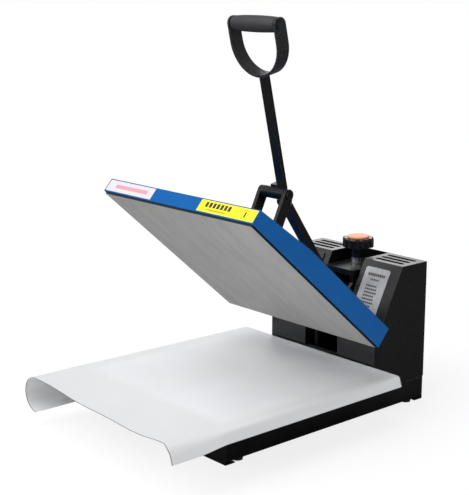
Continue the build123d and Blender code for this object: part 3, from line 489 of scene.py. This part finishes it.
def plates(name, rects, origin, across, up, out, low, high, body, slot, finish):
    """Closed rectangular slabs (x0, x1, y0, y1) on a plane, from height low to high along its normal."""
    rects = np.asarray(rects, float)
    corner = np.array([[0, 2], [1, 2], [1, 3], [0, 3]])
    x, y = rects[:, corner[:, 0]], rects[:, corner[:, 1]]
    layers = [origin + x[..., None] * across + y[..., None] * up + h * out for h in (low, high)]
    points = np.concatenate(layers, axis=1)
    sides = [[0, 1, 5, 4], [1, 2, 6, 5], [2, 3, 7, 6], [3, 0, 4, 7], [3, 2, 1, 0], [4, 5, 6, 7]]
    faces = (np.arange(len(rects))[:, None, None] * 8 + np.array(sides)).reshape(-1, 4)
    if np.dot(np.cross(across, up), out) < 0:
        faces = faces[:, ::-1]
    return new_piece(name, points, faces.tolist(), body, finish, smooth=False)


def smoothstep(x, first, last):
    t = np.clip((x - first) / (last - first), 0.0, 1.0)
    return t * t * (3 - 2 * t)


# ---------------------------------------------------------------- release sheet
def release_sheet():
    """A square sheet with a half-round roll at its left, a flat run and a soft fold at its right.

    Across the sheet, arc length s starts at the inner end of the roll, goes round the half circle up to
    the crest, runs flat over the pad and turns down past the pad's right edge.  Along it, distance d runs
    straight from the rear to the front edge, where the cloth overhangs the pad and waves a little.  The
    roll stands a little askew: towards the front the left side moves out, and its front edge falls back.
    """
    low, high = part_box("release_sheet")
    pad_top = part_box("silicone_pad")[1][2]
    rows, columns = 180, 240
    level = pad_top + 0.00025
    roll_radius, overhang = 0.031, 0.028
    crest = low[0] + overhang
    fold_x, fold_radius, flap = 0.1885, 0.006, 0.0145
    length, askew, edge_wave, corner_reach = 0.4925, 0.017, 0.0035, 0.0085
    ripple_height, ripple_turns, droop = 0.0011, 36.0, 0.0008
    steep = math.radians(72.0)
    rolled_length = math.pi * roll_radius
    flat_end = rolled_length + fold_x - crest
    s = np.linspace(0.0, flat_end + fold_radius * steep + flap, columns)[None, :]
    v = np.append(np.linspace(0.0, 0.995, rows - 4), [0.9965, 0.9978, 0.9989, 1.0])[:, None]
    across = s - rolled_length + crest
    wave = edge_wave * smoothstep(across, 0.03, 0.11) * (1.0 - smoothstep(across, 0.12, 0.158))
    left = 1.0 - smoothstep(across, -0.19, 0.0)
    d = v * (length - askew * left + wave + corner_reach * smoothstep(across, 0.165, 0.19))
    y = high[1] - d
    free = smoothstep(d, 0.39, 0.45)
    rolled = np.clip((rolled_length - s) / roll_radius, 0.0, math.pi)
    soft = fold_radius * (1.0 + 1.5 * free)
    start = flat_end - 1.5 * free * fold_radius
    turn = np.clip((s - start) / soft, 0.0, steep)
    over = np.maximum(s - start - soft * steep, 0.0)
    flat_run = np.clip(s, rolled_length, start) - rolled_length
    x = crest - roll_radius * np.sin(rolled) + flat_run + soft * np.sin(turn) + over * math.cos(steep)
    z = level - roll_radius * (1.0 - np.cos(rolled)) - soft * (1.0 - np.cos(turn)) - over * math.sin(steep)
    ripple = ripple_height * np.sin(across * ripple_turns + 2.0) * smoothstep(across, -0.12, 0.0)
    z = z + free * (ripple - droop)
    x = x - askew * left * v
    points = np.stack(np.broadcast_arrays(x, y, z), -1)
    piece = new_piece("release_cloth", points, quads(rows, columns), "base", sheet_cloth())
    edge = smoothstep(v, 1.0 - 0.0035, 1.0 - 0.002) * np.ones_like(s)
    cut = piece.data.attributes.new("cut_edge", "FLOAT", "POINT")
    cut.data.foreach_set("value", edge.ravel())
    wall = piece.modifiers.new("thickness", "SOLIDIFY")
    wall.thickness = 0.0003
    wall.offset = 0.0
    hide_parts("release_sheet")


def sponge_pad():
    """Rounded-square rings from the bottom centre out, up a half-round rim and in over a flat top."""
    low, high = (np.array(c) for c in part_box("silicone_pad"))
    middle, half = (low + high) / 2, (high - low) / 2
    rim = half[2]
    angle = np.linspace(0, 2 * np.pi, 160, endpoint=False)
    outline = np.stack([np.cos(angle), np.sin(angle)], -1)
    outline = outline / (np.abs(outline) ** 26).sum(-1, keepdims=True) ** (1 / 26)
    turn = np.linspace(-np.pi / 2, np.pi / 2, 11)
    inset = np.concatenate([[0.45, 0.15, 0.03], rim * 0.55 * (1 - np.cos(turn)), [0.03, 0.15, 0.45]])
    inset[:3] *= half[0]
    inset[-3:] *= half[0]
    height = np.concatenate([[-rim] * 3, rim * np.sin(turn), [rim] * 3])
    reach = half[0] - inset
    rings = np.empty((len(reach), len(angle), 3))
    rings[..., :2] = middle[:2] + reach[:, None, None] * outline
    rings[..., 2] = middle[2] + height[:, None]
    piece = tube("silicone_sponge_pad", rings, "base", sponge())
    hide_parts("silicone_pad")


def grip_sleeve():
    """A barrel turned about the grip's axis: it swells to the middle, with rolled ends and shallow grooves."""
    low, high = (np.array(c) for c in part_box("handle_grip"))
    middle, half = (low + high) / 2, (high - low) / 2
    t = np.linspace(-1.0, 1.0, 121)
    swell = 1.0 - 0.13 * np.abs(t) ** 2.2
    rolled = np.sqrt(np.clip(1.0 - np.clip((np.abs(t) - 0.955) / 0.045, 0, 1) ** 2 * 0.75, 0, 1))
    groove = 1.0 - 0.05 * np.exp(-((np.abs(t) - 0.86) / 0.012) ** 2)
    radius = half[2] * swell * rolled * groove
    angle = np.linspace(0, 2 * np.pi, 64, endpoint=False)
    rings = np.empty((len(t), len(angle), 3))
    rings[..., 0] = middle[0] + half[0] * t[:, None]
    rings[..., 1] = middle[1] + radius[:, None] * np.cos(angle)
    rings[..., 2] = middle[2] + radius[:, None] * np.sin(angle)
    piece = tube("grip_sleeve", rings, "lever", grip_rubber)
    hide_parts("handle_grip")


sponge_pad()
release_sheet()
grip_sleeve()

# ---------------------------------------------------------------- labels and print
head_side = 0.380
label_low, label_high, label_thick = 0.0022, 0.0236, 0.00015
ink_top, ink_sink, ink_rise, sign_rise = 0.00022, 0.00002, 0.00006, 0.00008
front_edge = rim_rear + head_side * head_forward
face = dict(origin=front_edge, across=right, up=head_out, out=head_forward)
plates("white_label", [(-0.1875, -0.063, label_low, label_high)], low=0.0, high=label_thick, body="head",
       slot="label_metal", finish=white_label, **face)
plates("yellow_label", [(0.056, 0.1875, label_low, label_high)], low=0.0, high=label_thick, body="head",
       slot="label_metal", finish=yellow_label, **face)


def dashes(first, last, count, low, high, fill=0.72):
    """Evenly spaced dashes between two x values."""
    edges = np.linspace(first, last, count + 1)
    step = (last - first) / count
    return [(x, x + step * fill, low, high) for x in edges[:-1]]


plates("white_label_marks", dashes(-0.165, -0.078, 15, 0.0095, 0.0165), low=label_thick, high=ink_top,
       body="head", slot="lamp_red", finish=pink_ink, **face)
yellow_marks = dashes(0.070, 0.132, 7, 0.0115, 0.0205, 0.7) + dashes(0.078, 0.122, 13, 0.0062, 0.0082, 0.6)
yellow_marks += [(0.158, 0.170, 0.0050, 0.0056), (0.158, 0.170, 0.0192, 0.0198),
                 (0.158, 0.1586, 0.005, 0.0198), (0.1694, 0.170, 0.005, 0.0198),
                 (0.1625, 0.1655, 0.0075, 0.0172)]
plates("yellow_label_marks", yellow_marks, low=label_thick, high=ink_top, body="head", slot="knob_plastic",
       finish=black_ink, **face)
rim_lines = [(-0.1885, 0.1885, 0.0002, 0.0008), (-0.1885, 0.1885, 0.0246, 0.0250)]
plates("cover_front_lines", rim_lines, low=0.0, high=0.0001, body="head", slot="cover_paint",
       finish=blue_paint, **face)

slope_start = 0.126  # height at which the towers' fronts begin to slope
slope_foot = np.array([0.0, tower_low[1], slope_start])


def node_top(name):
    """How far a node stands out along the slope's normal."""
    return float(np.max([np.dot(np.array(v.co) - slope_foot, slope_out) for v in nodes[name].data.vertices]))


plate_mid = (plate_low[0] + plate_high[0]) / 2
slope_base = np.dot(np.array([0.0, plate_low[1], plate_low[2]]) - slope_foot, slope_up)
slope_top = np.dot(np.array([0.0, plate_high[1], plate_high[2]]) - slope_foot, slope_up)
rows_up = np.linspace(slope_top, slope_base, 24)
marks = dashes(plate_mid - 0.019, plate_mid + 0.021, 9, rows_up[4], rows_up[4] + 0.0052, 0.78)
marks += dashes(plate_mid - 0.010, plate_mid + 0.010, 5, rows_up[6], rows_up[6] + 0.003, 0.7)
for row in range(8):
    low_row = rows_up[9] - row * 0.0062
    marks += dashes(plate_mid - 0.015, plate_mid + 0.010 + 0.002 * (row % 3), 6, low_row, low_row + 0.0032,
                    0.76)
plate_out = node_top("rating_plate")
tower_plane = dict(origin=slope_foot, across=right, up=slope_up, out=slope_out)
plates("rating_marks", marks, low=plate_out - ink_sink, high=plate_out + ink_rise, body="base",
       slot="knob_plastic", finish=black_ink, **tower_plane)


SEGMENTS = {"0": "abcdef", "1": "bc", "6": "acdefg", "8": "abcdefg"}


def digit(text, x, y, wide, tall, thick):
    """Seven-segment rectangles of one numeral."""
    half = tall / 2
    spans = {
        "a": (x + thick, x + wide - thick, y + tall - thick, y + tall),
        "d": (x + thick, x + wide - thick, y, y + thick),
        "g": (x + thick, x + wide - thick, y + half - thick / 2, y + half + thick / 2),
        "b": (x + wide - thick, x + wide, y + half + thick / 2, y + tall - thick / 2),
        "c": (x + wide - thick, x + wide, y + thick / 2, y + half - thick / 2),
        "f": (x, x + thick, y + half + thick / 2, y + tall - thick / 2),
        "e": (x, x + thick, y + thick / 2, y + half - thick / 2),
    }
    return [spans[s] for s in SEGMENTS[text]]


window_low, window_high = (np.array(c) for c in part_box("display_window"))
window_up = np.dot((window_low + window_high) / 2 - slope_foot, slope_up)
window_x = (window_low[0] + window_high[0]) / 2
segments = []
for place_no, numeral in enumerate("180"):
    segments += digit(numeral, window_x - 0.0165 + place_no * 0.012, window_up - 0.008, 0.009, 0.016, 0.0018)
window_out = node_top("display_window")
plates("display_digits", segments, low=window_out - ink_sink, high=window_out + ink_rise, body="base",
       slot="lamp_red", finish=digit_glow(), **tower_plane)


def button_mark(name, shape):
    """A small raised sign in the middle of one button."""
    low, high = (np.array(c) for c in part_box(name))
    x = (low[0] + high[0]) / 2
    y = np.dot((low + high) / 2 - slope_foot, slope_up)
    rects = [(x + a * mm, x + b * mm, y + c * mm, y + d * mm) for a, b, c, d in shape]
    out = node_top(name)
    plates(f"{name}_mark", rects, low=out - ink_sink, high=out + sign_rise, body=name, slot="label_metal",
           finish=white_ink, **tower_plane)


steps = [(-2.6, 2.6, -1.5, -0.9), (-1.8, 1.8, -0.6, 0.0), (-1.0, 1.0, 0.3, 0.9), (-0.4, 0.4, 1.2, 1.8)]
button_mark("button_up", steps)
button_mark("button_down", [(a, b, -d, -c) for a, b, c, d in steps])
button_mark("button_mode", [(-2.2, 2.2, -1.6, -1.0), (-2.2, 2.2, -0.3, 0.3), (-2.2, 2.2, 1.0, 1.6)])
start_sign = [(-0.35, 0.35, 0.2, 2.2), (-1.9, -1.3, -1.6, 1.0), (1.3, 1.9, -1.6, 1.0),
              (-1.3, 1.3, -1.6, -1.0)]
button_mark("button_start", start_sign)


# ---------------------------------------------------------------- stage, light, camera
def stage_floor():
    """A plain pale floor, very wide: mostly plain white as seen, and dimmer in mirror reflections."""
    mesh = bpy.data.meshes.new("floor")
    reach, white_share = 30.0, 0.82
    mesh.from_pydata([(-reach, -reach, 0), (reach, -reach, 0), (reach, reach, 0), (-reach, reach, 0)], [],
                     [(0, 1, 2, 3)])
    material, tree, shade, place_in = start_material("pale_floor", Specular_IOR_Level=0.1)
    skin = place(tree, MOTTLE, Vector=place_in.outputs["Object"], Colour=rgba(0.95, 0.95, 0.95),
                 Second_Colour=rgba(0.96, 0.96, 0.96), Patch_Scale=1.0, Rough_Low=0.8, Rough_High=0.9)
    tree.links.new(skin.outputs["Colour"], shade.inputs["Base Color"])
    tree.links.new(skin.outputs["Roughness"], shade.inputs["Roughness"])
    dim = add(tree, "ShaderNodeBsdfDiffuse", {}, Color=rgba(0.13, 0.13, 0.135)).outputs[0]
    path = add(tree, "ShaderNodeLightPath").outputs["Is Glossy Ray"]
    blend = add(tree, "ShaderNodeMixShader", {}, i0=path, i1=shade.outputs[0], i2=dim)
    white = add(tree, "ShaderNodeEmission", {}, Color=rgba(1.0, 1.0, 1.0), Strength=1.0).outputs[0]
    seen = add(tree, "ShaderNodeLightPath").outputs["Is Camera Ray"]
    share = math_node(tree, "MULTIPLY", seen, white_share)
    backdrop = add(tree, "ShaderNodeMixShader", {}, i0=share, i1=blend.outputs[0], i2=white)
    tree.links.new(backdrop.outputs[0], tree.nodes["Material Output"].inputs["Surface"])
    mesh.materials.append(material)
    floor = bpy.data.objects.new("floor", mesh)
    bpy.context.scene.collection.objects.link(floor)


def soft_light(name, place_at, aim, size, power):
    """A square area light aimed at a point and hidden from the camera itself."""
    data = bpy.data.lights.new(name, "AREA")
    data.size = size
    data.energy = power
    lamp = bpy.data.objects.new(name, data)
    bpy.context.scene.collection.objects.link(lamp)
    from_to = np.array(aim) - np.array(place_at)
    lamp.location = place_at
    lamp.rotation_euler = Vector(from_to).to_track_quat("-Z", "Y").to_euler()
    lamp.visible_camera = False


def studio_world():
    """Even grey surround for the object, white where the camera looks past everything."""
    world = bpy.data.worlds.new("studio")
    bpy.context.scene.world = world
    world.use_nodes = True
    tree = world.node_tree
    tree.nodes["Background"].inputs["Color"].default_value = rgba(0.33, 0.335, 0.34)
    path = tree.nodes.new("ShaderNodeLightPath")
    seen = tree.nodes.new("ShaderNodeBackground")
    seen.inputs["Color"].default_value = rgba(1, 1, 1)
    blend = tree.nodes.new("ShaderNodeMixShader")
    tree.links.new(path.outputs["Is Camera Ray"], blend.inputs[0])
    tree.links.new(tree.nodes["Background"].outputs[0], blend.inputs[1])
    tree.links.new(seen.outputs[0], blend.inputs[2])
    tree.links.new(blend.outputs[0], tree.nodes["World Output"].inputs["Surface"])


def soft_sun(name, tilt, heading, angle, strength):
    """A very wide sun: the same soft daylight over the whole floor."""
    data = bpy.data.lights.new(name, "SUN")
    data.energy = strength
    data.angle = math.radians(angle)
    lamp = bpy.data.objects.new(name, data)
    bpy.context.scene.collection.objects.link(lamp)
    lamp.rotation_euler = (math.radians(tilt), 0.0, math.radians(heading))


stage_floor()
studio_world()
soft_sun("overhead", 24.0, -35.0, 50.0, 1.6)
soft_sun("front", 62.0, -14.0, 60.0, 2.0)
soft_light("right_fill", (2.7, -0.9, 0.75), (0.0, -0.05, 0.15), 1.8, 12.0)
soft_light("rear_glow", (-2.4, 2.4, 1.2), (0.0, 0.1, 0.3), 1.8, 16.0)
bpy.context.scene.view_settings.view_transform = "Standard"

camera_data = bpy.data.cameras.new("camera")
camera_data.lens = 87.54
camera = bpy.data.objects.new("camera", camera_data)
bpy.context.scene.collection.objects.link(camera)
camera.location = (1.48642, -1.40572, 0.76218)
camera.rotation_euler = (math.radians(77.2), 0.0, math.radians(48.8))
bpy.context.scene.camera = camera

bpy.context.view_layer.update()
